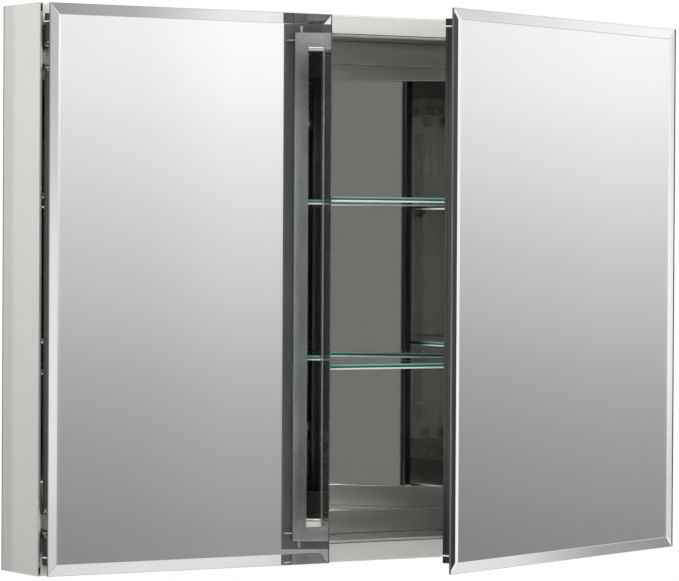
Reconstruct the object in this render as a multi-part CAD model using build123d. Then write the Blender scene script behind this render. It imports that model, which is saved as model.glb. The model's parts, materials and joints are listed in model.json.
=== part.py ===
from build123d import *
import math
import os

# Two-door mirrored medicine cabinet, millimetres.
# Origin: centre of the wall face. +Z up, +Y into the wall, the doors face -Y.
# The left door stands closed and the right door stands ajar.

# Driving dimensions
WIDTH = 889.0             # 35 in, over the side panels
HEIGHT = 660.4            # 26 in
BODY_DEPTH = 97.6         # wall face to rim plane
RIM_HEIGHT = 25.6         # front flange, top and bottom
SHEET = 1.5               # aluminium sheet of the body
DOOR_REVEAL = 1.6         # body edge to mirror edge, all round
LEFT_MIRROR = 376.0       # mirror widths
RIGHT_MIRROR = 504.4
RIGHT_REST_ANGLE = 23.0   # how far the right door stands open

DOOR_GAP = 3.2            # rim plane to the back of the door frame
FRAME_DEPTH = 16.4
FRAME_WIDTH = 17.5
TAPE = 0.8                # thickness of the adhesive tape
MIRROR_THICK = 4.0
BEVEL_WIDTH = 12.7
BEVEL_DROP = 1.1
OVERHANG = 11.5           # mirror past the frame at the top, bottom and free edge
HINGE_OVERHANG = 2.5      # the same at the hinge edge
INNER_MIRROR = 3.0

PIVOT_IN = 8.0            # hinge axis, in from the body's outer face
PIVOT_FRONT = 15.8        # hinge axis, in front of the rim plane
PIN_RADIUS = 1.5
RUNNING = 0.05            # radial clearance of the hinge pin in the arm
HINGE_HEIGHT = 268.0      # hinge centres, above and below the middle
KNUCKLE_HALF = 15.5

SHELF_THICK = 6.35
TRACK_PITCH = 25.4
PEG_LEVEL = 4 * TRACK_PITCH   # shelf pegs, above and below the middle
PEG_DROP = 3.35               # shelf underside above its peg
SHELF_SETBACK = 8.0           # shelf edge behind the rim plane
SCREW_SPAN = 812.8            # wall screws, 32 in apart, on 16 in studs
SCREW_RISE = 508.0
SCREW_RADIUS = 2.75

HALF_W = WIDTH / 2
HALF_H = HEIGHT / 2
RIM_Y = -BODY_DEPTH
SIDE_IN = HALF_W - SHEET
LIP_Z = HALF_H - RIM_HEIGHT
BEAD_WIDTH = 3.4
BEAD_DEPTH = 6.0
BEAD_NOTCH = 10.6
SKIN_Z = LIP_Z + 0.3          # visible face of the ceiling, just above the lip
SKIN = 1.2
MIRROR_BACK_Y = -2.0          # back panel's front face
BACK_GLASS = 3.0
RAIL_Z = 276.5                # edge of the back mirror, where a rail covers the sheet above and below it
DOOR_HALF = HALF_H - DOOR_REVEAL
FRAME_HALF = DOOR_HALF - OVERHANG
FRAME_OUT = DOOR_REVEAL + HINGE_OVERHANG
FRAME_BACK = -DOOR_GAP
FRAME_FRONT = FRAME_BACK - FRAME_DEPTH
GLASS_BACK = FRAME_FRONT - TAPE
GLASS_FRONT = GLASS_BACK - MIRROR_THICK

NODES = {}


def slab(x0, x1, y0, y1, z0, z1):
    """A block between two corners, in any order."""
    size = (abs(x1 - x0), abs(y1 - y0), abs(z1 - z0))
    return Pos((x0 + x1) / 2, (y0 + y1) / 2, (z0 + z1) / 2) * Box(*size)


def outline(points, rounds=None):
    """A closed face through the points; rounds gives some corners a radius."""
    radii = [(rounds or {}).get(i, 0) for i in range(len(points))]
    return make_face(FilletPolyline(*points, radius=radii, close=True))


def column(points, z0, z1, rounds=None):
    """An XY outline carried from z0 to z1."""
    return extrude(Plane.XY.offset(z0) * outline(points, rounds), z1 - z0)


def beam(points, x0, x1, rounds=None):
    """A YZ outline carried from x0 to x1."""
    return extrude(Plane.YZ.offset(x0) * outline(points, rounds), x1 - x0)


def rod(axis, centre, radius, length):
    """A cylinder centred on a point, along X, Y or Z."""
    turn = {"X": (0, 90, 0), "Y": (90, 0, 0), "Z": (0, 0, 0)}[axis]
    return Pos(*centre) * Rot(*turn) * Cylinder(radius, length)


def both_ways(shape, plane):
    """The shape and its mirror image, as two solids."""
    return Compound([shape, mirror(shape, about=plane)])


def on_body(x, y, z):
    """Hinge-side coordinates (in from the outer face, behind the rim) to the left side."""
    return Pos(x - HALF_W, y + RIM_Y, z)


# Cabinet body -------------------------------------------------------------


def side_panel():
    """Extruded side with a grooved bead at the front, and a bevel and a return at the back."""
    section = [(0, 0), (1.0, 0), (1.0, 0.9), (1.7, 0.9), (1.7, 0), (BEAD_WIDTH, 0),
               (BEAD_WIDTH, BEAD_DEPTH), (SHEET, BEAD_DEPTH + 2), (SHEET, BODY_DEPTH - 1.6),
               (11.5, BODY_DEPTH - 1.6), (11.5, BODY_DEPTH), (1.1, BODY_DEPTH), (0, BODY_DEPTH - 4.4)]
    panel = column(section, -HALF_H, HALF_H, {0: 0.8, 5: 0.6})
    notch = slab(SHEET - 0.5, 12, -1, BEAD_DEPTH + 2, HALF_H - BEAD_NOTCH, HALF_H + 1)
    panel = panel - notch - mirror(notch, about=Plane.XY)
    corner = slab(SHEET, 12, BODY_DEPTH - 3, BODY_DEPTH + 1, LIP_Z, HALF_H + 1)
    return panel - corner - mirror(corner, about=Plane.XY)


def end_shell():
    """Top sheet folded down into the front rim, with a groove and a short return lip at its edge."""
    groove = 0.7
    fold = [(0, HALF_H), (0, LIP_Z + 3.4), (groove, LIP_Z + 3.2), (groove, LIP_Z + 2.4), (0, LIP_Z + 2.2),
            (0, LIP_Z), (6.0, LIP_Z), (6.0, LIP_Z + SHEET), (SHEET, LIP_Z + SHEET),
            (SHEET, HALF_H - SHEET), (BODY_DEPTH, HALF_H - SHEET), (BODY_DEPTH, HALF_H)]
    wide = HALF_W - BEAD_WIDTH - 0.2
    shell = Pos(0, RIM_Y, 0) * beam(fold, -wide, wide, {0: 1.2, 5: 1.0, 8: 0.3, 9: 0.5})
    clear = slab(-HALF_W, -SIDE_IN + 0.05, RIM_Y - 1, 1, 0, HALF_H + 1)
    return shell - clear - mirror(clear, about=Plane.YZ)


def skin_panel():
    """Ceiling between the side panels, just above the lip."""
    front = RIM_Y + BEAD_DEPTH + 2.2
    return slab(-SIDE_IN, SIDE_IN, front, MIRROR_BACK_Y, SKIN_Z, SKIN_Z + SKIN)


def wall_holes(radius, depth):
    """Four cylinders on the wall screw pattern, from the wall face forwards."""
    places = [(x, z) for x in (-SCREW_SPAN / 2, SCREW_SPAN / 2) for z in (-SCREW_RISE / 2, SCREW_RISE / 2)]
    return Compound([rod("Y", (x, -depth / 2, z), radius, depth + 0.02) for x, z in places])


def back_panel():
    """Sheet that meets the wall, stepped in front of the side panels' returns."""
    deep = HALF_H - SHEET
    sheet = slab(-SIDE_IN + 10, SIDE_IN - 10, MIRROR_BACK_Y, 0, -deep, deep)
    wings = slab(-SIDE_IN, SIDE_IN, MIRROR_BACK_Y, -1.6, -LIP_Z, LIP_Z)
    return sheet + wings - wall_holes(SCREW_RADIUS, 10)


def back_mirror():
    """Mirror between the two back rails, cut out for the grommets."""
    glass_y = MIRROR_BACK_Y - BACK_GLASS
    glass = slab(-SIDE_IN + 0.3, SIDE_IN - 0.3, glass_y, MIRROR_BACK_Y, -RAIL_Z + 0.2, RAIL_Z - 0.2)
    return glass - wall_holes(7.2, 10)


def back_rail():
    """Strip of the back between mirror and ceiling, a little proud of the glass, its edge eased."""
    front = MIRROR_BACK_Y - BACK_GLASS - 0.4
    edge = SKIN_Z - 0.6
    section = [(MIRROR_BACK_Y, RAIL_Z), (front, RAIL_Z), (front, edge), (MIRROR_BACK_Y, edge)]
    return beam(section, -SIDE_IN + 0.3, SIDE_IN - 0.3, {1: 0.6})


def back_grommets():
    """Bushings that keep the wall screws off the glass."""
    washer = 1.4
    made = []
    for x in (-SCREW_SPAN / 2, SCREW_SPAN / 2):
        for z in (-SCREW_RISE / 2, SCREW_RISE / 2):
            sleeve = rod("Y", (x, MIRROR_BACK_Y - BACK_GLASS / 2, z), 7.0, BACK_GLASS)
            brim = rod("Y", (x, MIRROR_BACK_Y - BACK_GLASS - washer / 2, z), 10.0, washer)
            brim = chamfer(brim.edges().filter_by(GeomType.CIRCLE).group_by(Axis.Y)[0], 0.5)
            made.append(sleeve + brim - rod("Y", (x, -5, z), SCREW_RADIUS, 20))
    return Compound(made)


BRACKET = 2.0                         # thickness
BRACKET_REACH = 24.0
BRACKET_HALF = 9.0                    # half its width
BRACKET_PLACES = (RIM_Y + 24, -24)    # middles, one near the rim and one near the wall
RIVET_IN = 15.0                       # rivets, in from the side panel
RIVET_RADIUS = 1.6


def corner_brackets():
    """Angles inside the hollow top and bottom that join the sheets to the sides."""
    top = HALF_H - SHEET
    foot = SKIN_Z + SKIN
    made = []
    for y in BRACKET_PLACES:
        front = y - BRACKET_HALF
        back = y + BRACKET_HALF
        upright = slab(-SIDE_IN, -SIDE_IN + BRACKET, front, back, foot, top)
        level = slab(-SIDE_IN, -SIDE_IN + BRACKET_REACH, front, back, top - BRACKET, top)
        hole = rod("Z", (-SIDE_IN + RIVET_IN, y, top), RIVET_RADIUS + 0.02, 12)
        made.append(upright + level - hole)
    left = Compound(made)
    top_pair = both_ways(left, Plane.YZ)
    return both_ways(top_pair, Plane.XY)


def bracket_rivets():
    """Rivets from the brackets into the sheets."""
    top = HALF_H - SHEET
    made = []
    for y in BRACKET_PLACES:
        shank = rod("Z", (-SIDE_IN + RIVET_IN, y, top - BRACKET / 2), RIVET_RADIUS, BRACKET)
        head = rod("Z", (-SIDE_IN + RIVET_IN, y, top - BRACKET - 0.5), 2 * RIVET_RADIUS, 1.0)
        made.append(shank + head)
    top_pair = both_ways(Compound(made), Plane.YZ)
    return both_ways(top_pair, Plane.XY)


# Shelves ------------------------------------------------------------------

TRACK_THICK = 3.0
TRACK_WIDTH = 12.0
FRONT_TRACK = 24.0        # track centres, behind the rim plane
REAR_TRACK = 82.0
FRONT_TRACK_HALF = 232.0  # the front track stops short of the hinge plates
REAR_TRACK_HALF = 296.0
HOLE_RADIUS = 2.5
CLIP_CLEAR = 0.4


def shelf_track(behind, half):
    """Perforated strip on the side panel."""
    strip = slab(SHEET, SHEET + TRACK_THICK, behind - TRACK_WIDTH / 2, behind + TRACK_WIDTH / 2, -half, half)
    count = int((half - 8) // TRACK_PITCH)
    holes = [rod("X", (SHEET + TRACK_THICK / 2, behind, k * TRACK_PITCH), HOLE_RADIUS, TRACK_THICK + 1)
             for k in range(-count, count + 1)]
    return on_body(0, 0, 0) * (strip - Compound(holes))


def shelf(peg_level):
    """Full-width glass shelf with ground arrises."""
    under = peg_level + PEG_DROP
    reach = HALF_W - SHEET - TRACK_THICK - 2.0 - CLIP_CLEAR
    back = MIRROR_BACK_Y - BACK_GLASS - 2.0
    glass = slab(-reach, reach, RIM_Y + SHELF_SETBACK, back, under, under + SHELF_THICK)
    return chamfer(glass.edges(), 0.5)


def shelf_clips(peg_level):
    """Peg, back plate and ledge, four to a shelf."""
    under = peg_level + PEG_DROP
    face = SHEET + TRACK_THICK
    made = []
    for behind in (FRONT_TRACK, REAR_TRACK):
        peg = rod("X", (face - 1.3, behind, peg_level), HOLE_RADIUS - 0.15, 2.6)
        plate = slab(face, face + 2.0, behind - 6, behind + 6, peg_level - 5, under + 2.5)
        corners = [(face, behind - 6), (face + 10, behind - 6), (face + 10, behind + 6), (face, behind + 6)]
        ledge = column(corners, under - 2.4, under, {1: 3, 2: 3})
        web = slab(face, face + 6, behind - 0.8, behind + 0.8, peg_level - 3, under)
        made.append(on_body(0, 0, 0) * (peg + plate + ledge + web))
    return both_ways(Compound(made), Plane.YZ)


# Hinges -------------------------------------------------------------------

PLATE = 2.4
PLATE_HALF = 24.0
ARM_FROM, ARM_TO = 15.0, 64.0     # straight arm, behind the rim plane
ARM_RISE = 8.0
ARM_HALF = 7.5
NECK = 2.2
NECK_IN = 13.3                    # the gooseneck's inner face, in from the outer face
ADJUSTERS = (26.0, 50.0)          # adjusting screws of the arm, behind the rim plane
PLATE_SCREWS = (-17.0, 17.0)      # plate screws, above and below the hinge centre
PLATE_SCREW_LINE = 38.0           # the same, behind the rim plane


def hinge_plate(level):
    """Winged plate on the side panel."""
    base = SHEET
    wings = slab(base, base + PLATE, 30, 46, -PLATE_HALF, PLATE_HALF)
    spine = slab(base, base + PLATE, 20, 62, -10, 10)
    plate = wings + spine
    for z in PLATE_SCREWS:
        plate -= rod("X", (base + PLATE / 2, PLATE_SCREW_LINE, z), 1.95, PLATE + 1)
    return on_body(0, 0, level) * plate


def hinge_arm(level):
    """Knuckle, gooseneck and channel arm, fixed to the plate."""
    top = SHEET + PLATE
    outer = top + ARM_RISE
    bend = 5.8 - PIVOT_FRONT
    neck = column([(PIVOT_IN - 1.2, -PIVOT_FRONT), (NECK_IN, bend), (NECK_IN, 12.0), (outer, ARM_FROM),
                   (outer - NECK, ARM_FROM + 0.2), (NECK_IN - NECK, 12.4), (NECK_IN - NECK, bend + 1.2),
                   (PIVOT_IN - 1.2, -PIVOT_FRONT + 2.3)],
                  -KNUCKLE_HALF, KNUCKLE_HALF, {1: 3.0, 2: 1.5, 5: 1.2, 6: 1.5})
    knuckle = rod("Z", (PIVOT_IN, -PIVOT_FRONT, 0), 2.4, 2 * KNUCKLE_HALF)
    low = [(-20, -KNUCKLE_HALF), (4 - PIVOT_FRONT, -KNUCKLE_HALF), (11.8 - PIVOT_FRONT, -9.5), (8, -9.5),
           (13, -ARM_HALF), (17, -ARM_HALF)]
    taper = beam(low + [(y, -z) for y, z in reversed(low)], 0, 20)
    head = (neck + knuckle) & taper
    body = slab(top, outer, ARM_FROM, ARM_TO, -ARM_HALF, ARM_HALF)
    body = fillet(body.edges().filter_by(Axis.Y).group_by(Axis.X)[-1], 1.6)
    body -= slab(top - 1, outer - 1.6, ARM_FROM + 1.6, ARM_TO - 1.6, -ARM_HALF + 1.6, ARM_HALF - 1.6)
    for behind in ADJUSTERS:
        body -= rod("X", (outer - 1, behind, 0), 2.15, 4)
    arm = head + body - rod("Z", (PIVOT_IN, -PIVOT_FRONT, 0), PIN_RADIUS + RUNNING, 60)
    return on_body(0, 0, level) * arm


def hinge_screws():
    """Plate screws and arm adjusters of both hinges on one side."""
    top = SHEET + PLATE
    line = PLATE_SCREW_LINE
    made = []
    for level in (-HINGE_HEIGHT, HINGE_HEIGHT):
        for z in PLATE_SCREWS:
            shank = rod("X", (SHEET + PLATE / 2, line, z), 1.9, PLATE)
            head = rod("X", (top + 1.1, line, z), 3.8, 2.2)
            head = chamfer(head.edges().filter_by(GeomType.CIRCLE).group_by(Axis.X)[-1], 0.7)
            cross = slab(top + 1.0, top + 3, line - 2.2, line + 2.2, z - 0.45, z + 0.45)
            cross += slab(top + 1.0, top + 3, line - 0.45, line + 0.45, z - 2.2, z + 2.2)
            made.append(on_body(0, 0, level) * (shank + head - cross))
        for behind in ADJUSTERS:
            stud = rod("X", (top + ARM_RISE / 2 + 0.6, behind, 0), 2.05, ARM_RISE - 1.2)
            head = rod("X", (top + ARM_RISE + 0.7, behind, 0), 3.4, 1.4)
            slot = slab(top + ARM_RISE + 0.6, top + ARM_RISE + 2, behind - 4, behind + 4, -0.5, 0.5)
            made.append(on_body(0, 0, level) * (stud + head - slot))
    return Compound(made)


def hinge_cup(level):
    """Two ears and a web inside the stile, which carry the pin."""
    inner = KNUCKLE_HALF + 0.25
    outer = inner + 2.0
    front = -PIVOT_FRONT - 1.6
    plan = [(5.7, front), (16.8, front), (16.8, FRAME_BACK - 1.7), (5.7, FRAME_BACK - 7.2)]
    cup = column(plan, -outer, outer, {0: 1.0, 3: 1.5}) - slab(0, 15.4, -30, 30, -inner, inner)
    cup -= rod("Z", (PIVOT_IN, -PIVOT_FRONT, 0), PIN_RADIUS + 0.02, 60)
    return on_body(0, 0, level) * cup


def hinge_pin(level):
    """Headed pin through both ears."""
    half = KNUCKLE_HALF + 3.4
    pin = rod("Z", (PIVOT_IN, -PIVOT_FRONT, 0), PIN_RADIUS, 2 * half)
    return on_body(0, 0, level) * chamfer(pin.edges().filter_by(GeomType.CIRCLE), 0.3)


# Doors, built closed on the left side -------------------------------------


def member_section():
    """Frame section: (from the outer side inwards, from the back towards the glass)."""
    w, d = FRAME_WIDTH, FRAME_DEPTH
    outer = [(0, 0), (14.4, 0), (14.4, 0.6), (15.4, 0.6), (15.4, 0), (w, 0), (w, 1.4), (14.3, 1.4),
             (14.3, 4.6), (w, 4.6), (w, 5.9), (14.3, 5.9), (14.3, d), (0, d), (0, 10.2), (0.6, 9.6), (0, 9.0),
             (0, 5.2), (0.6, 4.6), (0, 4.0)]
    cavity = [(1.3, 1.4), (12.9, 1.4), (12.9, d - 1.0), (1.3, d - 1.0)]
    return outer, cavity, {0: 0.8, 5: 0.8}, {0: 0.5, 1: 0.5, 2: 0.5, 3: 0.5}


def upright_member(outer_x, inwards):
    """A stile along Z; inwards is +1 or -1 along X."""
    outer, cavity, round_out, round_in = member_section()

    def seat(points):
        return [(outer_x + inwards * w, FRAME_BACK - d) for w, d in points]
    solid = column(seat(outer), -FRAME_HALF, FRAME_HALF, round_out)
    return solid - column(seat(cavity), -FRAME_HALF - 1, FRAME_HALF + 1, round_in)


def level_member(outer_z, x0, x1):
    """A rail along X; it hangs from outer_z towards the door's middle."""
    outer, cavity, round_out, round_in = member_section()
    inwards = -math.copysign(1, outer_z)

    def seat(points):
        return [(FRAME_BACK - d, outer_z + inwards * w) for w, d in points]
    solid = beam(seat(outer), x0, x1, round_out)
    return solid - beam(seat(cavity), x0 - 1, x1 + 1, round_in)


def mitre(x, z, inwards_x, inwards_z, from_stile):
    """The waste past the 45 degree joint at the frame corner (x, z), of its stile or of its rail."""
    reach = FRAME_WIDTH + 4
    near = (x - inwards_x * 4, z - inwards_z * 4)
    far = (x + inwards_x * reach, z + inwards_z * reach)
    middle = (far[0], near[1]) if from_stile else (near[0], far[1])
    return extrude(Plane.XZ.offset(30) * outline([near, middle, far]), -60)


def hinge_cutout(level):
    """Opening round the outer back corner of the stile for the arm to swing through."""
    narrow, wide, slope = 11.0, 17.0, 8.3
    low = [(FRAME_BACK + 2, -narrow), (FRAME_BACK, -narrow), (FRAME_BACK - slope, -wide),
           (FRAME_FRONT - 0.1, -wide)]
    side = low + [(y, -z) for y, z in reversed(low)]
    return Pos(0, 0, level) * beam(side, FRAME_OUT - 1, FRAME_OUT + 11.2, {2: 2.0, 5: 2.0})


def bevelled_mirror(x0, x1):
    """Front mirror: flat field, four bevels and a ground edge."""
    glass = slab(x0, x1, GLASS_FRONT, GLASS_BACK, -DOOR_HALF, DOOR_HALF)
    front = glass.faces().sort_by(Axis.Y)[0]
    return chamfer(front.edges(), BEVEL_WIDTH, BEVEL_DROP, reference=front)


def glass_clips(x0, x1, frame_x0, frame_x1):
    """Thin fins that stand from the frame behind the mirror's overhang."""
    from_corner, thick, fin = 21.0, 1.4, 8.5
    back = FRAME_BACK - 3.8
    made = []
    for z_side in (-1, 1):
        z = z_side * (DOOR_HALF - from_corner)
        made.append(slab(x0 + 0.3, frame_x0, back, GLASS_BACK, z - thick / 2, z + thick / 2))
        made.append(slab(frame_x1, frame_x1 + fin, back, GLASS_BACK, z - thick / 2, z + thick / 2))
        for x in (x0 + from_corner, x1 - from_corner):
            top = z_side * FRAME_HALF
            made.append(slab(x - thick / 2, x + thick / 2, back, GLASS_BACK, top, top + z_side * fin))
    return Compound(made)


def mirror_tape(frame_x0, frame_x1):
    """Adhesive tape frame between the mirror and the door frame."""
    edge, wide = 1.0, 11.5
    outer = slab(frame_x0 + edge, frame_x1 - edge, GLASS_BACK, FRAME_FRONT,
                 -FRAME_HALF + edge, FRAME_HALF - edge)
    hole = edge + wide
    inner = slab(frame_x0 + hole, frame_x1 - hole, GLASS_BACK - 1, FRAME_FRONT + 1,
                 -FRAME_HALF + hole, FRAME_HALF - hole)
    return outer - inner


def corner_keys(frame_x0, frame_x1):
    """L-shaped keys pressed into the mitred corners."""
    thick, leg, inset = 6.0, 26.0, 1.6
    y0 = FRAME_BACK - 1.9
    y1 = FRAME_FRONT + 1.9
    made = []
    for x, sx in ((frame_x0, 1), (frame_x1, -1)):
        for sz in (-1, 1):
            z = sz * FRAME_HALF
            x_out = x + sx * inset
            z_out = z - sz * inset
            made.append(slab(x_out, x_out + sx * thick, y0, y1, z_out, z_out - sz * leg)
                        + slab(x_out, x_out + sx * leg, y0, y1, z_out, z_out - sz * thick))
    return Compound(made)


def bumpers(x_free):
    """Soft dots on the rails that meet the rim when the door closes."""
    thick, radius, from_edge = DOOR_GAP - 0.4, 4.0, 140.0
    made = []
    for z in (-FRAME_HALF + 8, FRAME_HALF - 8):
        dot = rod("Y", (x_free - from_edge, FRAME_BACK + thick / 2, z), radius, thick)
        made.append(fillet(dot.edges().filter_by(GeomType.CIRCLE).group_by(Axis.Y)[-1], 0.4))
    return Compound(made)


def door(mirror_width):
    """All pieces of one door in hinge-side coordinates: rim plane at y 0, outer face at x 0."""
    x0 = DOOR_REVEAL
    x1 = DOOR_REVEAL + mirror_width
    fx0 = FRAME_OUT
    fx1 = x1 - OVERHANG
    hinge_stile = upright_member(fx0, 1)
    free_stile = upright_member(fx1, -1)
    top_rail = level_member(FRAME_HALF, fx0, fx1)
    bottom_rail = level_member(-FRAME_HALF, fx0, fx1)
    for z, inwards in ((FRAME_HALF, -1), (-FRAME_HALF, 1)):
        hinge_stile -= mitre(fx0, z, 1, inwards, True)
        free_stile -= mitre(fx1, z, -1, inwards, True)
    for x, inwards in ((fx0, 1), (fx1, -1)):
        top_rail -= mitre(x, FRAME_HALF, inwards, -1, False)
        bottom_rail -= mitre(x, -FRAME_HALF, inwards, 1, False)
    for level in (-HINGE_HEIGHT, HINGE_HEIGHT):
        hinge_stile -= hinge_cutout(level)
    grip = FRAME_WIDTH - 2.9
    inner = slab(fx0 + grip, fx1 - grip, FRAME_BACK - 1.5, FRAME_BACK - 1.5 - INNER_MIRROR,
                 -FRAME_HALF + grip, FRAME_HALF - grip)
    pieces = {
        "mirror": bevelled_mirror(x0, x1),
        "mirror_tape": mirror_tape(fx0, fx1),
        "hinge_stile": hinge_stile,
        "free_stile": free_stile,
        "top_rail": top_rail,
        "bottom_rail": bottom_rail,
        "corner_keys": corner_keys(fx0, fx1),
        "inner_mirror": inner,
        "glass_clips": glass_clips(x0, x1, fx0, fx1),
        "bumpers": bumpers(fx1),
    }
    return {name: on_body(0, 0, 0) * shape for name, shape in pieces.items()}


# Assembly -----------------------------------------------------------------


def flip(shape):
    """Left side to right side."""
    return mirror(shape, about=Plane.YZ)


def swung(shape):
    """The right door's pieces, turned to where the door stands."""
    pivot = (HALF_W - PIVOT_IN, RIM_Y - PIVOT_FRONT, 0)
    return Pos(*pivot) * Rot(0, 0, RIGHT_REST_ANGLE) * Pos(*[-c for c in pivot]) * shape


def build_cabinet():
    side = on_body(0, 0, 0) * side_panel()
    NODES["left_side_panel"] = side
    NODES["right_side_panel"] = flip(side)
    NODES["top_shell"] = end_shell()
    NODES["bottom_shell"] = mirror(end_shell(), about=Plane.XY)
    NODES["ceiling_panel"] = skin_panel()
    NODES["floor_panel"] = mirror(skin_panel(), about=Plane.XY)
    NODES["back_panel"] = back_panel()
    NODES["back_mirror"] = back_mirror()
    NODES["upper_back_rail"] = back_rail()
    NODES["lower_back_rail"] = mirror(back_rail(), about=Plane.XY)
    NODES["back_grommets"] = back_grommets()
    NODES["corner_brackets"] = corner_brackets()
    NODES["bracket_rivets"] = bracket_rivets()
    places = (("front", FRONT_TRACK, FRONT_TRACK_HALF), ("rear", REAR_TRACK, REAR_TRACK_HALF))
    for place, behind, half in places:
        track = shelf_track(behind, half)
        NODES[f"left_{place}_shelf_track"] = track
        NODES[f"right_{place}_shelf_track"] = flip(track)
    for name, peg_level in (("upper", PEG_LEVEL), ("lower", -PEG_LEVEL)):
        NODES[f"{name}_shelf"] = shelf(peg_level)
        NODES[f"{name}_shelf_clips"] = shelf_clips(peg_level)


def build_hinges():
    for name, level in (("upper", HINGE_HEIGHT), ("lower", -HINGE_HEIGHT)):
        for piece, make in (("plate", hinge_plate), ("arm", hinge_arm)):
            shape = make(level)
            NODES[f"left_{name}_hinge_{piece}"] = shape
            NODES[f"right_{name}_hinge_{piece}"] = flip(shape)
        for piece, make in (("cup", hinge_cup), ("pin", hinge_pin)):
            shape = make(level)
            NODES[f"left_{name}_hinge_{piece}"] = shape
            NODES[f"right_{name}_hinge_{piece}"] = swung(flip(shape))
    NODES["left_hinge_screws"] = hinge_screws()
    NODES["right_hinge_screws"] = flip(hinge_screws())


def build_doors():
    for name, shape in door(LEFT_MIRROR).items():
        NODES[f"left_door_{name}"] = shape
    for name, shape in door(RIGHT_MIRROR).items():
        NODES[f"right_door_{name}"] = swung(flip(shape))


build_cabinet()
build_hinges()
build_doors()
os.makedirs("parts", exist_ok=True)
for node, shape in NODES.items():
    export_step(shape, f"parts/{node}.step")
print(len(NODES), "nodes")
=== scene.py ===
import math
import json

import bmesh
import bpy
from mathutils import Matrix, Vector


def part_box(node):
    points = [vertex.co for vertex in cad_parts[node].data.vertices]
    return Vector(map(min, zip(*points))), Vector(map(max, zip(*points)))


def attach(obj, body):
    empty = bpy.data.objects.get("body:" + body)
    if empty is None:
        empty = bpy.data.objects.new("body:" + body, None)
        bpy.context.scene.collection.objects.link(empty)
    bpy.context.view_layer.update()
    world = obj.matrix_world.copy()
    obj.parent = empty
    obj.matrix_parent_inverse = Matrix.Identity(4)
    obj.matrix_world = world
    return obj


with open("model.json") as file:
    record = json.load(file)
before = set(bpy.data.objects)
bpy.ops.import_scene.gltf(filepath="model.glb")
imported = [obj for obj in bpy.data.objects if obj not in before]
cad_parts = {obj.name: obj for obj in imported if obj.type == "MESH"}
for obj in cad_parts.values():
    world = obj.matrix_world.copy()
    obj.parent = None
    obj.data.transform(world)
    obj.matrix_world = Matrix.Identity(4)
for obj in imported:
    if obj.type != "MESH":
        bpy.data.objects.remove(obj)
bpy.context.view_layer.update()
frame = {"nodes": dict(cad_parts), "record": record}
NODES = frame["nodes"]
SCENE = bpy.context.scene

MM = 0.001
RIGHT_HINGE = next(joint for joint in frame["record"]["behaviour"]["joints"]
                   if joint["name"] == "right_door_hinge")
RIGHT_ANGLE = -math.radians(RIGHT_HINGE["range_deg"][0])    # how far the right door stands open at rest
HINGE = Vector(RIGHT_HINGE["pos_m"])                        # a point on the right door's hinge axis


# Node helpers ---------------------------------------------------------------


class Graph:
    """Short calls for building one node tree."""

    def __init__(self, tree):
        self.tree = tree
        tree.nodes.clear()

    def node(self, kind, inputs=None, **settings):
        made = self.tree.nodes.new(kind)
        for name, value in settings.items():
            setattr(made, name, value)
        for name, value in (inputs or {}).items():
            self.set(made.inputs[name], value)
        return made

    def set(self, socket, value):
        if isinstance(value, bpy.types.NodeSocket):
            self.tree.links.new(value, socket)
        else:
            socket.default_value = value

    def math(self, operation, *values):
        made = self.node("ShaderNodeMath", operation=operation)
        for socket, value in zip(made.inputs, values):
            self.set(socket, value)
        return made.outputs[0]

    def span(self, value, from_min, from_max, to_min, to_max, kind="SMOOTHSTEP"):
        made = self.node("ShaderNodeMapRange", interpolation_type=kind)
        for name, given in zip(("Value", "From Min", "From Max", "To Min", "To Max"),
                               (value, from_min, from_max, to_min, to_max)):
            self.set(made.inputs[name], given)
        return made.outputs[0]

    def mix(self, factor, a, b):
        made = self.node("ShaderNodeMix", data_type="RGBA")
        self.set(made.inputs[0], factor)
        self.set(made.inputs[6], a)
        self.set(made.inputs[7], b)
        return made.outputs[2]

    def curve(self, value, low, high, points):
        """Piecewise curve through points; value runs from low to high."""
        made = self.node("ShaderNodeFloatCurve")
        line = made.mapping.curves[0]
        made.mapping.use_clip = False
        places = [((x - low) / (high - low), y) for x, y in points]
        while len(line.points) < len(places):
            line.points.new(0.5, 0.5)
        for point, (x, y) in zip(line.points, places):
            point.location = (x, y)
            point.handle_type = "AUTO_CLAMPED"
        made.mapping.extend = "HORIZONTAL"
        made.mapping.update()
        self.set(made.inputs["Value"], self.span(value, low, high, 0, 1, "LINEAR"))
        return made.outputs[0]


def grey(value, tint=(1.0, 1.0, 1.0)):
    """A grey of a brightness, times a tint."""
    return (value * tint[0], value * tint[1], value * tint[2], 1.0)


def material(name):
    """A new material with its graph, its shader and its output node."""
    made = bpy.data.materials.new(name)
    made.use_nodes = True
    graph = Graph(made.node_tree)
    out = graph.node("ShaderNodeOutputMaterial")
    shader = graph.node("ShaderNodeBsdfPrincipled")
    graph.set(out.inputs["Surface"], shader.outputs[0])
    return made, graph, shader, out


def coordinates(graph, stretch, turn=0.0):
    """Object coordinates, stretched so that grain runs along an axis; turn undoes a door's rest angle."""
    place = graph.node("ShaderNodeTexCoord").outputs["Object"]
    if turn:
        place = graph.node("ShaderNodeVectorRotate", {"Vector": place, "Angle": -turn},
                           rotation_type="Z_AXIS").outputs[0]
    return graph.node("ShaderNodeMapping", {"Vector": place, "Scale": stretch}).outputs[0]


def noise(graph, place, scale, detail=3.0, roughness=0.55):
    """Noise over a place; scale is in waves to the metre."""
    return graph.node("ShaderNodeTexNoise", {"Vector": place, "Scale": scale, "Detail": detail,
                                             "Roughness": roughness}).outputs["Fac"]


def rounded(graph, shader, height, strength, distance, edge):
    """Bump from a height, over edges rounded by a small radius."""
    soft = graph.node("ShaderNodeBevel", {"Radius": edge}, samples=6).outputs[0]
    bump = graph.node("ShaderNodeBump", {"Height": height, "Strength": strength, "Distance": distance,
                                         "Normal": soft})
    graph.set(shader.inputs["Normal"], bump.outputs[0])


# Materials --------------------------------------------------------------------

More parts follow.
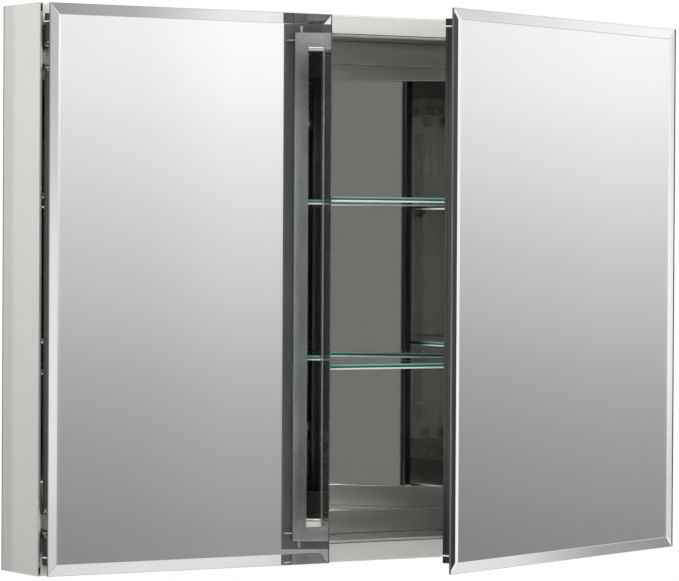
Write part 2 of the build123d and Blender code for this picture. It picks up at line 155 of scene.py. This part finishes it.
LONG = 0.02      # how far grain is drawn out along its axis
GRAIN = {"X": (LONG, 1, 1), "Z": (1, 1, LONG)}
NO_GRAIN = (1, 1, 1)
GLASS_IOR = 1.52


def anodised(name, axis, tone=0.84, rough=(0.42, 0.5), turn=0.0, tint=(1.0, 0.99, 0.952), grain=0.04,
             painted_shade=None):
    """Satin anodised aluminium with the fine lines of its extrusion.

    The last argument gives a painted shade: (axis number, distance where it starts, distance where it ends,
    shade there).
    """
    made, graph, shader, _ = material(name)
    drawn = coordinates(graph, GRAIN[axis], turn)
    plain = coordinates(graph, NO_GRAIN, turn)
    lines = noise(graph, drawn, 900.0, 4.0, 0.7)
    streaks = noise(graph, drawn, 120.0, 3.0, 0.6)
    cloud = noise(graph, plain, 14.0, 4.0, 0.6)
    blend = graph.math("ADD", graph.math("MULTIPLY", streaks, 0.6), graph.math("MULTIPLY", cloud, 0.4))
    colour = graph.mix(graph.span(blend, 0.3, 0.7, 0, 1), grey(tone * 0.985, tint), grey(tone * 1.015, tint))
    # Painted shade: the colour darkens along one axis, towards the shade given
    if painted_shade:
        along, start, end, shade = painted_shade
        places = graph.node("ShaderNodeSeparateXYZ", {"Vector": plain}).outputs
        distance = graph.math("ABSOLUTE", places[along])
        colour = graph.mix(graph.span(distance, start, end, 0, 1), colour, grey(tone * shade, tint))
    graph.set(shader.inputs["Base Color"], colour)
    sheen = graph.math("ADD", graph.math("MULTIPLY", lines, 0.5), graph.math("MULTIPLY", blend, 0.5))
    graph.set(shader.inputs["Roughness"], graph.span(sheen, 0.3, 0.7, rough[0], rough[1]))
    shader.inputs["Metallic"].default_value = 1.0
    rounded(graph, shader, lines, grain, 0.00006, 0.0004)
    return made


def cast(name, tone, rough, tint=(1, 0.985, 0.95), edge=0.0005):
    """Plated die-cast metal."""
    made, graph, shader, _ = material(name)
    plain = coordinates(graph, NO_GRAIN)
    fine = noise(graph, plain, 700.0, 5.0, 0.6)
    cloud = noise(graph, plain, 60.0, 3.0, 0.5)
    graph.set(shader.inputs["Base Color"],
              graph.mix(graph.span(cloud, 0.35, 0.65, 0, 1),
                        grey(tone * 0.93, tint), grey(tone * 1.04, tint)))
    graph.set(shader.inputs["Roughness"], graph.span(fine, 0.3, 0.7, rough[0], rough[1]))
    shader.inputs["Metallic"].default_value = 1.0
    rounded(graph, shader, fine, 0.25, 0.00008, edge)
    return made


def silvering(name):
    """The silver film of a mirror, with the faintest haze."""
    made, graph, shader, _ = material(name)
    cloud = noise(graph, coordinates(graph, NO_GRAIN), 9.0, 4.0, 0.6)
    graph.set(shader.inputs["Base Color"],
              graph.mix(graph.span(cloud, 0.3, 0.7, 0, 1),
                        grey(0.955, (1, 1, 0.995)), grey(0.965, (1, 1, 0.998))))
    graph.set(shader.inputs["Roughness"], graph.span(cloud, 0.35, 0.75, 0.0, 0.012))
    shader.inputs["Metallic"].default_value = 1.0
    return made


def clear_glass(name, density, colour):
    """Polished float glass; the body's tint comes from the length of glass passed."""
    made, graph, shader, out = material(name)
    shader.inputs["Base Color"].default_value = (1, 1, 1, 1)
    shader.inputs["Roughness"].default_value = 0.0
    shader.inputs["IOR"].default_value = GLASS_IOR
    shader.inputs["Transmission Weight"].default_value = 1.0
    body = graph.node("ShaderNodeVolumeAbsorption", {"Color": colour, "Density": density})
    graph.set(out.inputs["Volume"], body.outputs[0])
    return made


def shelf_edge(name, low, high, painted_highlight):
    """The edge of a glass shelf between two heights: deep green, with a painted pale green highlight over
    its upper part, and on the front edge a painted near-white highlight along its lower arris.
    """
    made, graph, shader, _ = material(name)
    drawn = coordinates(graph, GRAIN["X"])
    fine = noise(graph, drawn, 600.0, 4.0, 0.6)
    waver = noise(graph, drawn, 90.0, 2.0, 0.5)
    height = graph.node("ShaderNodeSeparateXYZ", {"Vector": coordinates(graph, NO_GRAIN)}).outputs[2]
    level = graph.math("ADD", graph.span(height, low, high, 0, 1),
                       graph.span(waver, 0.3, 0.7, -0.06, 0.06))
    # Painted highlight: pale green towards the top of the edge
    colour = graph.mix(graph.span(level, 0.6, 1.05, 0, 1), (0.012, 0.1, 0.08, 1), (0.22, 0.5, 0.41, 1))
    # Painted highlight: near-white along the lower arris
    if painted_highlight:
        colour = graph.mix(graph.span(level, 0.2, 0.34, 1, 0), colour, (0.9, 1, 0.98, 1))
    graph.set(shader.inputs["Base Color"], colour)
    shader.inputs["Transmission Weight"].default_value = 0.3
    shader.inputs["IOR"].default_value = GLASS_IOR
    graph.set(shader.inputs["Roughness"], graph.span(fine, 0.3, 0.7, 0.1, 0.2))
    return made


def ground_glass(name, low, high):
    """A mirror's ground edge."""
    made, graph, shader, _ = material(name)
    fine = noise(graph, coordinates(graph, GRAIN["Z"]), 500.0, 4.0, 0.7)
    graph.set(shader.inputs["Base Color"], graph.mix(graph.span(fine, 0.3, 0.7, 0, 1), low, high))
    graph.set(shader.inputs["Roughness"], graph.span(fine, 0.3, 0.7, 0.3, 0.5))
    shader.inputs["Specular IOR Level"].default_value = 0.55
    bump = graph.node("ShaderNodeBump", {"Height": fine, "Strength": 0.3, "Distance": 0.00005})
    graph.set(shader.inputs["Normal"], bump.outputs[0])
    return made


def coated(name, low, high, rough, scale, strength=0.2, distance=0.0001, edge=0.0003, specular=0.5):
    """Paint, plastic, foam or rubber with a fine surface."""
    made, graph, shader, _ = material(name)
    plain = coordinates(graph, NO_GRAIN)
    fine = noise(graph, plain, scale, 5.0, 0.6)
    cloud = noise(graph, plain, scale / 12, 3.0, 0.5)
    graph.set(shader.inputs["Base Color"], graph.mix(graph.span(cloud, 0.3, 0.7, 0, 1), low, high))
    graph.set(shader.inputs["Roughness"], graph.span(fine, 0.3, 0.7, rough[0], rough[1]))
    shader.inputs["Specular IOR Level"].default_value = specular
    rounded(graph, shader, fine, strength, distance, edge)
    return made


def clear_plastic(name):
    """Slightly cloudy clear plastic."""
    made, graph, shader, _ = material(name)
    fine = noise(graph, coordinates(graph, NO_GRAIN), 400.0, 3.0, 0.5)
    shader.inputs["Base Color"].default_value = (0.9, 0.92, 0.91, 1)
    shader.inputs["Transmission Weight"].default_value = 0.45
    shader.inputs["IOR"].default_value = 1.49
    graph.set(shader.inputs["Roughness"], graph.span(fine, 0.3, 0.7, 0.06, 0.16))
    return made


ALU_TOP = anodised("aluminium_top", "X")
# Painted shade: the bottom shell is a darker copy of the top's aluminium, as the lower rim gets less light
ALU_BOTTOM_SHADED = anodised("aluminium_bottom_painted_shade", "X", 0.75)
ALU_RAIL = anodised("aluminium_back_rail", "X", 0.53, (0.2, 0.26), grain=0.01)
ALU_SKIN = anodised("aluminium_inside", "X", 0.5, (0.2, 0.28), grain=0.02)
# Painted shade: a darker copy of the aluminium for the rim's bend and bead
ALU_HEM_SHADED = anodised("aluminium_rim_edge_painted_shade", "X", 0.5)
ALU_Z = anodised("aluminium_along_z", "Z", 0.74, (0.3, 0.4))
# Painted shade: the side panels darken to 0.84 within 20 mm of the wall, fading out by 40 mm
ALU_SIDE = anodised("aluminium_side", "Z", 0.88, (0.25, 0.28), grain=0.02, painted_shade=(1, 0.04, 0.02, 0.84))
# Painted shade: a dark copy of the aluminium for the bevel along the side panels' wall edge
ALU_WALL_EDGE_SHADE = anodised("aluminium_wall_edge_painted_shade", "Z", 0.2, (0.4, 0.5))


def frame_looks(run, turn):
    """A door frame's two looks, for its faces and its outer sides, with painted shade: the sides are painted
    much darker, and both darken towards top and bottom.
    """
    ending = f"along_{run.lower()}{'_right' if turn else ''}"
    # Painted shade: the outer sides are much darker than the faces, more so on the left door
    shaded_side_tone = 0.17 if turn else 0.09
    # Painted shade: both looks darken to half towards top and bottom
    return [anodised(f"door_frame_{part}_{ending}", run, tone, (0.2, 0.28), turn, (0.95, 1.0, 0.98),
                     painted_shade=(2, 0.16, 0.3, 0.5))
            for part, tone in (("face", 0.9), ("side", shaded_side_tone))]


FRAMES = {(run, turn): frame_looks(run, turn) for run in "XZ" for turn in (0.0, RIGHT_ANGLE)}
SILVER = silvering("silver_film")
MIRROR_GLASS = clear_glass("mirror_glass", 0.6, (0.55, 0.86, 0.74, 1))
SHELF_GLASS = clear_glass("shelf_glass", 4.0, (0.12, 0.62, 0.45, 1))
MIRROR_EDGE = ground_glass("mirror_ground_edge", (0.05, 0.07, 0.065, 1), (0.09, 0.12, 0.11, 1))
MIRROR_PAINT = coated("mirror_back_paint", (0.1, 0.103, 0.105, 1), (0.125, 0.128, 0.13, 1), (0.35, 0.5),
                      260.0)
NICKEL = cast("nickel_plate", 0.66, (0.22, 0.36))
HINGE_NICKEL = cast("hinge_arm_nickel", 0.86, (0.42, 0.55))
PIN_STEEL = cast("pin_steel", 0.6, (0.16, 0.26), (1, 1, 1), 0.0002)
SCREW_STEEL = cast("screw_steel", 0.62, (0.2, 0.32), (1, 0.99, 0.96), 0.0003)
CLIP_PLASTIC = clear_plastic("clip_plastic")
GREY_PLASTIC = coated("grey_plastic", (0.35, 0.35, 0.34, 1), (0.42, 0.42, 0.41, 1), (0.35, 0.5), 500.0)
KEY_PLASTIC = coated("key_plastic", (0.03, 0.03, 0.032, 1), (0.05, 0.05, 0.052, 1), (0.4, 0.55), 500.0)
RUBBER = coated("soft_rubber", (0.5, 0.5, 0.49, 1), (0.6, 0.6, 0.585, 1), (0.55, 0.75), 600.0, specular=0.3)
TAPE_FOAM = coated("tape_foam", (0.03, 0.03, 0.03, 1), (0.06, 0.06, 0.06, 1), (0.75, 0.95), 900.0,
                   strength=0.6, distance=0.0002)
# Painted shade: near-black paint standing for the shade in the rim's shallow groove
GROOVE_SHADE = coated("rim_groove_painted_shade", (0.05, 0.05, 0.048, 1), (0.09, 0.09, 0.086, 1), (0.5, 0.7), 500.0)
BACK_STEEL = coated("galvanised_back", (0.5, 0.51, 0.51, 1), (0.58, 0.59, 0.59, 1), (0.32, 0.5), 400.0)


def dress(node, *materials):
    """Give a CAD node its materials, one slot each."""
    mesh = NODES[node].data
    mesh.materials.clear()
    for made in materials:
        mesh.materials.append(made)


def dress_pane(node, facing):
    """A mirror's glass: polished where it looks along facing, painted on the far side, ground elsewhere."""
    dress(node, MIRROR_GLASS, MIRROR_EDGE, MIRROR_PAINT)
    toward = 0.5      # part of a normal along facing that tells the two sides from the edges
    for face in NODES[node].data.polygons:
        along = face.normal.dot(facing)
        face.material_index = 0 if along > toward else 2 if along < -toward else 1


def dress_frame(node, outwards, looks):
    """A frame member: its outer side, under the mirror's overhang, gets the look with painted shade, darker
    than its faces.
    """
    dress(node, *looks)
    toward = 0.7
    for face in NODES[node].data.polygons:
        face.material_index = 1 if face.normal.dot(outwards) > toward else 0


# Distances from the rim's inner edge, and behind its front
BEAD_TOP = 2.25 * MM
GROOVE_TOP = 3.5 * MM
BEND_START = 24.3 * MM
BEND_TILT = 0.15        # part of a normal along Z that tells the bend from the flat front
BEND_DEPTH = 1.3 * MM
GROOVE_DEPTH = (0.02 * MM, 1.0 * MM)


def dress_shell(node, inner, look):
    """A shell: its rim's bend and the bead along the rim's inner edge get a darker copy of the aluminium as
    painted shade, and the groove is painted near-black as shade.
    """
    dress(node, look, ALU_HEM_SHADED, GROOVE_SHADE)
    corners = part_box(node)
    edge, front = corners[inner][2], corners[0][1]
    for face in NODES[node].data.polygons:
        rise = abs(face.center.z - edge)
        depth = face.center.y - front
        bend = rise > BEND_START and abs(face.normal.z) > BEND_TILT
        if depth < BEND_DEPTH and (rise < BEAD_TOP or bend):
            face.material_index = 1
        elif GROOVE_DEPTH[0] < depth < GROOVE_DEPTH[1] and rise < GROOVE_TOP:
            face.material_index = 2


def dress_side(node):
    """A side panel: the bevel at its wall edge gets painted shade, a dark copy of the aluminium."""
    dress(node, ALU_SIDE, ALU_WALL_EDGE_SHADE)
    reach = 6 * MM    # the bevel lies within this of the wall
    for face in NODES[node].data.polygons:
        slanted = 0.1 < face.normal.y < 0.9
        face.material_index = 1 if slanted and face.center.y > -reach else 0


def dress_shelf(level):
    """A glass shelf: clear above and below, with one look for its front edge and one for the others."""
    node = f"{level}_shelf"
    low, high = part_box(node)
    edges = [shelf_edge(f"{node}_{part}", low[2], high[2], painted_highlight)
             for part, painted_highlight in (("front_edge", True), ("other_edges", False))]
    dress(node, SHELF_GLASS, *edges)
    for face in NODES[node].data.polygons:
        flat = abs(face.normal.z) > 0.8
        front = face.normal.y < -0.3
        face.material_index = 0 if flat else 1 if front else 2


UP = Vector((0, 0, 1))
FRONT = Vector((0, -1, 0))
RIGHT_FRONT = Matrix.Rotation(RIGHT_ANGLE, 3, "Z") @ FRONT

dress_side("left_side_panel")
dress_side("right_side_panel")
dress_shell("top_shell", 0, ALU_TOP)
dress_shell("bottom_shell", 1, ALU_BOTTOM_SHADED)
for node in ("ceiling_panel", "floor_panel"):
    dress(node, ALU_SKIN)
for node in ("upper_back_rail", "lower_back_rail"):
    dress(node, ALU_RAIL)
dress("back_panel", BACK_STEEL)
dress("back_grommets", GREY_PLASTIC)
dress("corner_brackets", NICKEL)
dress("bracket_rivets", SCREW_STEEL)
for side in ("left", "right"):
    for place in ("front", "rear"):
        dress(f"{side}_{place}_shelf_track", ALU_Z)
    for level in ("upper", "lower"):
        dress(f"{side}_{level}_hinge_plate", NICKEL)
        dress(f"{side}_{level}_hinge_arm", HINGE_NICKEL)
        dress(f"{side}_{level}_hinge_cup", HINGE_NICKEL)
        dress(f"{side}_{level}_hinge_pin", PIN_STEEL)
    dress(f"{side}_hinge_screws", SCREW_STEEL)
    right = side == "right"
    turn = RIGHT_ANGLE if right else 0.0
    outwards = Matrix.Rotation(turn, 3, "Z") @ Vector((1 if right else -1, 0, 0))
    members = (("hinge_stile", "Z", outwards), ("free_stile", "Z", -outwards),
               ("top_rail", "X", UP), ("bottom_rail", "X", -UP))
    for piece, run, facing in members:
        dress_frame(f"{side}_door_{piece}", facing, FRAMES[run, turn])
    dress(f"{side}_door_mirror_tape", TAPE_FOAM)
    dress(f"{side}_door_corner_keys", KEY_PLASTIC)
    dress(f"{side}_door_glass_clips", CLIP_PLASTIC)
    dress(f"{side}_door_bumpers", RUBBER)
    front = RIGHT_FRONT if right else FRONT
    dress_pane(f"{side}_door_mirror", front)
    dress_pane(f"{side}_door_inner_mirror", -front)
dress_pane("back_mirror", FRONT)
for level in ("upper", "lower"):
    dress_shelf(level)
    dress(f"{level}_shelf_clips", CLIP_PLASTIC)


# Silver films -------------------------------------------------------------------

FILM = 0.08 * MM          # thickness of the film that is modelled
FILM_LIFT = 0.12 * MM     # film to the glass's back face
FILM_INSET = 0.25 * MM    # film's edge to the glass's edge
MARGIN = 12.7 * MM        # the bevel's width
MARGIN_RISE = 0.33 * MM   # how far the film comes forward under the top and bottom bevels
GROMMET_HOLE = 7.3 * MM   # radius of the openings round the wall screws' grommets
HALF_SPAN = 406.4 * MM    # wall screws, left and right of the middle
HALF_RISE = 254 * MM      # wall screws, above and below the middle
GROMMETS = [(x * HALF_SPAN, z * HALF_RISE) for x in (-1, 1) for z in (-1, 1)]


def unturned(point):
    """A point of the right door at rest, with the door turned shut."""
    return HINGE + Matrix.Rotation(-RIGHT_ANGLE, 3, "Z") @ (point - HINGE)


def pane_span(node, turned):
    """Lowest and highest corner of a pane, with a door's rest angle taken out."""
    points = [unturned(v.co) if turned else v.co for v in NODES[node].data.vertices]
    return [[pick(p[i] for p in points) for i in range(3)] for pick in (min, max)]


def bevelled_film(x0, x1, z0, z1):
    """Outlines of a film whose top and bottom margins come forward: points (x, z, rise) and faces."""
    xa, xb, za, zb = x0 + MARGIN, x1 - MARGIN, z0 + MARGIN, z1 - MARGIN
    points = [(x0, z0, 0), (x1, z0, 0), (x1, z1, 0), (x0, z1, 0),
              (xa, za, 0), (xb, za, 0), (xb, zb, 0), (xa, zb, 0),
              (x0, z0, 1), (x1, z0, 1), (x1, z1, 1), (x0, z1, 1)]
    faces = [(0, 4, 7, 3), (4, 5, 6, 7), (5, 1, 2, 6), (8, 9, 5, 4), (7, 6, 10, 11),
             (0, 8, 4), (9, 1, 5), (6, 2, 10), (11, 3, 7)]
    return points, faces


def plain_film(x0, x1, z0, z1):
    """Outline of a flat film with its corners nipped."""
    nip = 0.4 * MM
    points = [(x0 + nip, z0, 0), (x1 - nip, z0, 0), (x1, z0 + nip, 0), (x1, z1 - nip, 0),
              (x1 - nip, z1, 0), (x0 + nip, z1, 0), (x0, z1 - nip, 0), (x0, z0 + nip, 0)]
    return points, [tuple(range(8))]


def pierced_film(x0, x1, z0, z1):
    """Outlines of a flat film with a round hole at each grommet.

    The film is four panes, one to a grommet, and each is cut into quarters round its hole.
    """
    points, faces, seen = [], [], {}

    def place(x, z):
        key = (round(x, 7), round(z, 7))
        if key not in seen:
            seen[key] = len(points)
            points.append((x, z, 0))
        return seen[key]

    steps = 32
    for hx, hz in GROMMETS:
        left, right = (x0, 0.0) if hx < 0 else (0.0, x1)
        low, high = (z0, 0.0) if hz < 0 else (0.0, z1)
        corners = [(right, high), (left, high), (left, low), (right, low)]
        ring = [(hx + GROMMET_HOLE * math.cos(math.tau * i / steps),
                 hz + GROMMET_HOLE * math.sin(math.tau * i / steps)) for i in range(steps)]
        for quarter, (cx, cz) in enumerate(corners):
            start = quarter * steps // 4
            arc = [ring[(start + i) % steps] for i in range(steps // 4 + 1)]
            ends = [(cx, hz), (hx, cz)]
            if quarter % 2:
                ends.reverse()
            outline = [ends[0], (cx, cz), ends[1]] + list(reversed(arc))
            faces.append(tuple(place(*p) for p in outline))
    return points, faces


def film(name, node, facing, body, turned=False, outline=bevelled_film):
    """A thin silver sheet just inside the back face of a mirror's glass."""
    low, high = pane_span(node, turned)
    back = high[1] if facing < 0 else low[1]
    points, faces = outline(low[0] + FILM_INSET, high[0] - FILM_INSET,
                            low[2] + FILM_INSET, high[2] - FILM_INSET)
    mesh = bmesh.new()
    layers = []
    for lift in (FILM_LIFT, FILM_LIFT + FILM):
        layers.append([mesh.verts.new((x, back + facing * (lift + rise * MARGIN_RISE), z))
                       for x, z, rise in points])
    for layer in layers:
        for face in faces:
            mesh.faces.new([layer[i] for i in face])
    uses = {}
    for face in faces:
        for a, b in zip(face, face[1:] + face[:1]):
            uses.setdefault(frozenset((a, b)), []).append((a, b))
    for ways in uses.values():
        if len(ways) == 1:
            a, b = ways[0]
            mesh.faces.new([layers[0][a], layers[0][b], layers[1][b], layers[1][a]])
    bmesh.ops.recalc_face_normals(mesh, faces=mesh.faces)
    data = bpy.data.meshes.new(name)
    mesh.to_mesh(data)
    mesh.free()
    if turned:
        swing = Matrix.Rotation(RIGHT_ANGLE, 4, "Z")
        data.transform(Matrix.Translation(HINGE) @ swing @ Matrix.Translation(-HINGE))
    made = bpy.data.objects.new(name, data)
    SCENE.collection.objects.link(made)
    data.materials.append(SILVER)
    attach(made, body)


film("left_door_silver", "left_door_mirror", -1, "left_door")
film("right_door_silver", "right_door_mirror", -1, "right_door", turned=True)
film("left_door_inner_silver", "left_door_inner_mirror", 1, "left_door", outline=plain_film)
film("right_door_inner_silver", "right_door_inner_mirror", 1, "right_door", turned=True, outline=plain_film)
film("back_silver", "back_mirror", -1, "cabinet", outline=pierced_film)


# Stage --------------------------------------------------------------------------


def band(graph, value, low, high, soft):
    """1 between low and high, falling to 0 over soft on each side."""
    return graph.math("MULTIPLY", graph.span(value, low - soft, low + soft, 0, 1),
                      graph.span(value, high - soft, high + soft, 1, 0))


def studio_world():
    """Surroundings for the mirrors, as tones by height and by direction round the horizon, in degrees.

    They were tuned until the mirrors and bevels matched the photograph, so they suit its view
    best. The camera itself sees plain white behind the cabinet.
    """
    world = bpy.data.worlds.new("studio")
    SCENE.world = world
    world.use_nodes = True
    graph = Graph(world.node_tree)
    way = graph.node("ShaderNodeTexCoord").outputs["Generated"]
    x, y, z = graph.node("ShaderNodeSeparateXYZ", {"Vector": way}).outputs
    degrees = 180 / math.pi
    up = graph.math("MULTIPLY", graph.math("ARCSINE", z), degrees)
    turn = graph.math("MULTIPLY", graph.math("ARCTAN2", x, graph.math("MULTIPLY", y, -1)), degrees)

    def by_height(*points):
        return graph.curve(up, -20, 20, points)

    def by_turn(*points):
        return graph.curve(turn, -180, 180, points)

    # The wall that the mirrors face, dark below and light above
    wall = by_height((-20, 0.25), (-9, 0.24), (-5, 0.266), (-4, 0.305), (-2.5, 0.382), (-1, 0.504),
                     (0.5, 0.622), (1.5, 0.715), (3.5, 0.857), (9, 0.97), (20, 0.99))
    lean = by_turn((-180, 1), (27, 1), (30.3, 1.19), (45, 1), (60, 0.9), (79, 1), (82.2, 1.14), (90, 1.15),
                   (120, 1), (180, 1))
    right_lower = by_height((-20, 0.88), (-4.5, 0.89), (-0.5, 0.938), (1.5, 0.99), (3.5, 1), (20, 1))
    right_lower = graph.mix(graph.span(turn, 50, 65, 0, 1), grey(1), right_lower)
    shade = graph.math("MULTIPLY", graph.math("MULTIPLY", wall, lean), right_lower)
    shade = graph.math("MINIMUM", shade, 0.99)

    # Upright bands, which show in the bevels
    left_rim = by_height((-20, 0.5), (-5, 0.65), (-4, 0.76), (-2.5, 0.84), (-1, 0.82), (1.5, 0.61),
                         (3.5, 0.5), (20, 0.5))
    right_rim = by_height((-20, 0.6), (-4, 0.8), (-2.5, 0.95), (-0.7, 1.04), (1.4, 0.95), (3.3, 0.87),
                          (20, 0.8))
    shade = graph.mix(band(graph, turn, 31.9, 45, 0.5), shade, left_rim)
    shade = graph.mix(band(graph, turn, 70, 77.8, 0.6), shade, right_rim)
    shade = graph.mix(band(graph, turn, 84.3, 87.2, 0.5), shade, grey(0.97))
    shade = graph.mix(band(graph, turn, 88.5, 102, 0.8), shade, grey(0.055))

    # Bands above and below the wall, which show in the top and bottom bevels
    above = by_turn((-180, 0.9), (0, 0.7), (24, 0.72), (27, 0.73), (28.5, 0.76), (30, 0.7), (31, 0.67),
                    (45, 0.7), (76, 0.84), (79, 0.84), (80.5, 0.6), (81.5, 0.32), (82.8, 0.14), (86, 0.1),
                    (120, 0.9), (180, 0.9))
    below = by_turn((-180, 0.6), (20, 0.26), (27, 0.28), (28, 0.39), (29, 0.62), (30.6, 0.9), (45, 0.85),
                    (76, 0.58), (79, 0.62), (80.5, 0.8), (81.8, 0.98), (82.8, 1.06), (90, 1.05), (120, 0.6),
                    (180, 0.6))
    shade = graph.mix(graph.span(up, 3.9, 4.5, 0, 1), shade, above)
    shade = graph.mix(graph.span(up, -5.2, -5.8, 0, 1), shade, below)

    # A dark stretch on the left, and all that is high up or behind the wall's plane
    left_dark = graph.math("MULTIPLY", band(graph, turn, -104, -30, 6), band(graph, up, -8, 8, 1.5))
    shade = graph.mix(left_dark, shade, grey(0.2, (1, 0.985, 0.955)))
    shade = graph.mix(graph.span(up, 9, 16, 0, 1), shade, grey(0.9))
    behind = by_height((-20, 0.3), (-9, 0.4), (-4, 0.56), (0, 0.74), (4, 0.86), (20, 0.9))
    wall_side = graph.span(graph.math("ABSOLUTE", turn), 166, 172, 0, 0.7)
    behind = graph.mix(wall_side, behind, grey(0.12))
    shade = graph.mix(graph.span(y, 0.25, 0.35, 0, 1), shade, behind)
    seen = graph.node("ShaderNodeLightPath").outputs["Is Camera Ray"]
    shader = graph.node("ShaderNodeBackground", {"Color": graph.mix(seen, shade, grey(1)), "Strength": 1.0})
    out = graph.node("ShaderNodeOutputWorld")
    graph.set(out.inputs["Surface"], shader.outputs[0])


def softbox(name, place, width, height, power):
    """A soft area light that faces the cabinet's origin; sizes in metres, power in watts."""
    lamp = bpy.data.lights.new(name, "AREA")
    lamp.shape = "RECTANGLE"
    lamp.size, lamp.size_y, lamp.energy = width, height, power
    made = bpy.data.objects.new(name, lamp)
    made.location = place
    made.rotation_euler = (-Vector(place)).to_track_quat("-Z", "Y").to_euler()
    SCENE.collection.objects.link(made)


FLOOR_RADIUS = 4.0
FLOOR_HEIGHT = -1.45    # the cabinet hangs at eye level, so its floor is well below


def pale_floor():
    """A round pale floor, well under the cabinet."""
    mesh = bmesh.new()
    bmesh.ops.create_circle(mesh, cap_ends=True, cap_tris=False, segments=96, radius=FLOOR_RADIUS)
    data = bpy.data.meshes.new("floor")
    mesh.to_mesh(data)
    mesh.free()
    made = bpy.data.objects.new("floor", data)
    made.location = (0, 0, FLOOR_HEIGHT)
    SCENE.collection.objects.link(made)
    look, graph, shader, _ = material("pale_floor")
    speck = noise(graph, coordinates(graph, NO_GRAIN), 30.0, 5.0)
    graph.set(shader.inputs["Base Color"], graph.mix(speck, grey(0.78), grey(0.82)))
    shader.inputs["Roughness"].default_value = 0.6
    data.materials.append(look)


CAMERA_PLACE = (-2.30227, -3.82363, 0.05767)
CAMERA_ANGLES = (31.2585, -0.7849, 0.3143)    # turn, tip and roll in degrees
LENS = 191.47                                 # millimetres, on a sensor 36 wide


def photo_camera():
    """The camera, from its turn, tip, roll, place and lens."""
    turn, tip, roll = (math.radians(angle) for angle in CAMERA_ANGLES)
    ahead = Vector((math.sin(turn) * math.cos(tip), math.cos(turn) * math.cos(tip), math.sin(tip)))
    right = Vector((math.cos(turn), -math.sin(turn), 0))
    over = right.cross(ahead)
    across = right * math.cos(roll) + over * math.sin(roll)
    top = over * math.cos(roll) - right * math.sin(roll)
    lens = bpy.data.cameras.new("camera")
    lens.lens = LENS
    lens.sensor_width = 36.0
    lens.clip_start = 0.05
    lens.clip_end = 100.0
    made = bpy.data.objects.new("camera", lens)
    turned = Matrix((across, top, -ahead)).transposed().to_4x4()
    made.matrix_world = Matrix.Translation(CAMERA_PLACE) @ turned
    SCENE.collection.objects.link(made)
    SCENE.camera = made


studio_world()
softbox("key_light", (-1.6, -2.4, 2.6), width=1.6, height=1.2, power=160)
softbox("front_light", (0.9, -2.5, 2.4), width=2.0, height=1.0, power=42)
pale_floor()
photo_camera()
SCENE.view_settings.view_transform = "Standard"
MIRROR_BOUNCES = 48    # light passes each pane of mirror glass twice, and the mirrors face each other
SCENE.cycles.max_bounces = MIRROR_BOUNCES
SCENE.cycles.glossy_bounces = MIRROR_BOUNCES
SCENE.cycles.transmission_bounces = MIRROR_BOUNCES
SCENE.cycles.diffuse_bounces = 6
